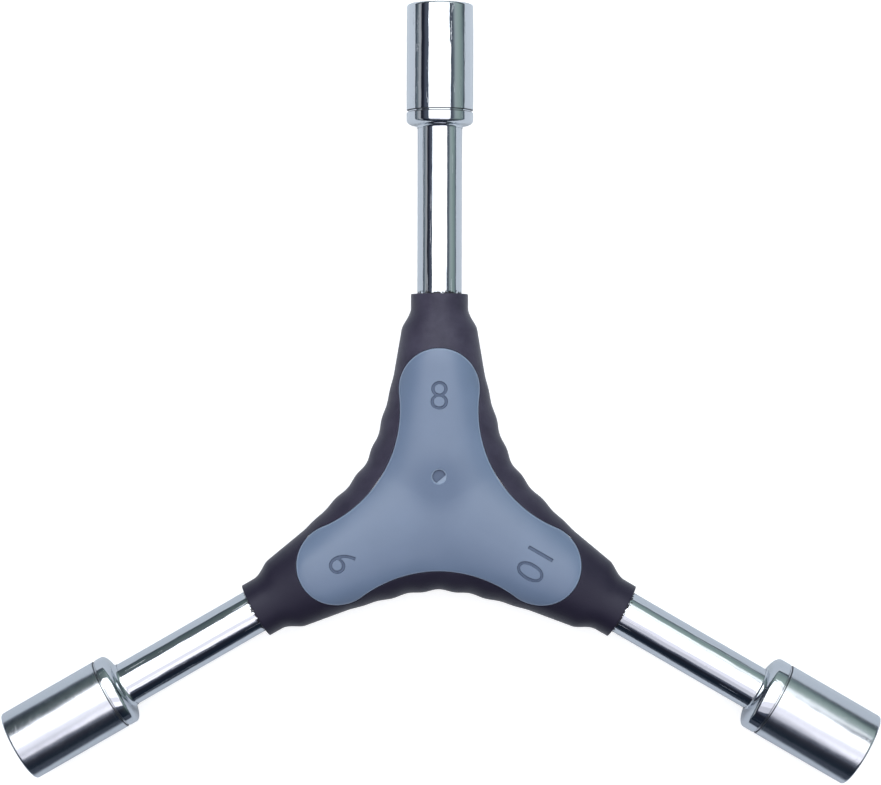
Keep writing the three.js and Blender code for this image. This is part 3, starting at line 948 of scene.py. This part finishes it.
def evened(start, end, count):
    """Places on the hub between two (u, angle) places, evenly spaced along the surface."""
    path = [(start[0] + (end[0] - start[0]) * n / path_samples,
             start[1] + (end[1] - start[1]) * n / path_samples) for n in range(path_samples + 1)]
    points = [hub_point(*place) for place in path]
    lengths = [0.0]
    for first, second in zip(points, points[1:]):
        lengths.append(lengths[-1] + (second - first).length)
    places, seat = [], 0
    for n in range(count + 1):
        wanted = lengths[-1] * n / count
        while seat < path_samples - 1 and lengths[seat + 1] < wanted:
            seat += 1
        share = (wanted - lengths[seat]) / max(lengths[seat + 1] - lengths[seat], 1e-12)
        places.append(tuple(a + (b - a) * min(share, 1) for a, b in zip(path[seat], path[seat + 1])))
    return places


grip_rubber, grip_shader = moulded("soft overmould", (0.013, 0.011, 0.024), (0.017, 0.015, 0.03),
                                   Grain_per_Metre=3900, Grain_Height=26e-6, Roughness=0.34,
                                   Roughness_Spread=0.12)
grip_shader.inputs["Specular IOR Level"].default_value = 0.25
grip_shader.inputs["Specular Tint"].default_value = (0.85, 0.88, 1, 1)
grip_shader.inputs["Sheen Weight"].default_value = 0.1
grip_shader.inputs["Sheen Roughness"].default_value = 0.4
tree = grip_rubber.node_tree
place = add_node(tree, "TexCoord", {}).outputs["Object"]
parts = add_node(tree, "SeparateXYZ", {0: place})
# Painted light: the rubber's colour pales in patches towards the 8 mm arm, standing in for its
# stronger light.
light_pool = mapped(tree, parts.outputs["Y"], light_pool_start, light_pool_whole)
light_patches = add_node(tree, "TexNoise", {
    "Vector": place, "Scale": light_patches_per_metre, "Detail": 6, "Roughness": 0.6})
patchy_light = mapped(tree, light_patches.outputs["Fac"], patch_low, patch_high, thinnest_light, 1,
                 interpolation="LINEAR")
light_share = combined(tree, "MULTIPLY", light_pool, patchy_light)
lit_colour = mixed(tree, light_share, source(grip_shader, "Base Color"), (*painted_light_colour, 1))
tree.links.new(lit_colour, grip_shader.inputs["Base Color"])
above = combined(tree, "SUBTRACT", parts.outputs["Z"], axis_height)
off_line = combined(tree, "ABSOLUTE", above)
bead = mapped(tree, off_line, parting_line_width / 2, 0)
parting_line = add_node(tree, "Bump", {
    "Distance": parting_line_height, "Height": bead, "Normal": source(grip_shader, "Normal")})
tree.links.new(parting_line.outputs["Normal"], grip_shader.inputs["Normal"])

window = outline(window_gap)
collar_u = 1 + (collar_along - notch_along) / (neck_end - notch_along)
collar_places = evened((collar_u, math.pi / 2), (collar_u, 0), tip_steps)
window_places = [hub_place(point.x, point.y) for point in window]
corner_shift = collar_u - window_places[tip_steps][0]
spokes = []
for number, (u, angle) in enumerate(window_places):
    if number <= tip_steps:
        foot = collar_places[number]
    else:
        share = (number - tip_steps) / (len(window) - 1 - tip_steps)
        foot = (u + corner_shift * (1 - share) ** 2, 0)
    spokes.append([hub_point(*place) for place in evened(foot, (u, angle), strip_rows)])
for spoke, point in zip(spokes, window):
    lip = spoke[-1]
    lip.x, lip.y = point.x, point.y
    for step in range(1, wall_rows + 1):
        spoke.append(Vector((lip.x, lip.y, lip.z * (1 - step / wall_rows))))
    spoke[0].z = spoke[0].z if spoke[0].z > weld else 0
bm = bmesh.new()
woven(bm, spokes)
neck = []
for row in range(neck_rows + 1):
    u = collar_u + (2 - collar_u) * row / neck_rows
    neck.append([hub_point(u, angle) for _, angle in collar_places])
neck.append([Vector((neck_end, 0, 0)) for _ in collar_places])
woven(bm, neck)
all_arms(bm)
soften(bm, lip_rounding, rounding_segments, grip_edge_angle)
cutter = bmesh.new()
put_round_tools(cutter, [
    (0, pocket_start),
    (pocket_radius, pocket_start),
    (pocket_radius, neck_end - mouth_depth),
    (pocket_radius + mouth_gap, neck_end - mouth_depth / 3),
    (pocket_radius + mouth_gap, neck_end + mouth_depth),
    (0, neck_end + mouth_depth),
])
bm = cut_away(bm, cutter)
bmesh.ops.transform(bm, matrix=hub_to_part, verts=bm.verts[:])
finished("soft_overmould", bm, [grip_rubber], "soft_grip")
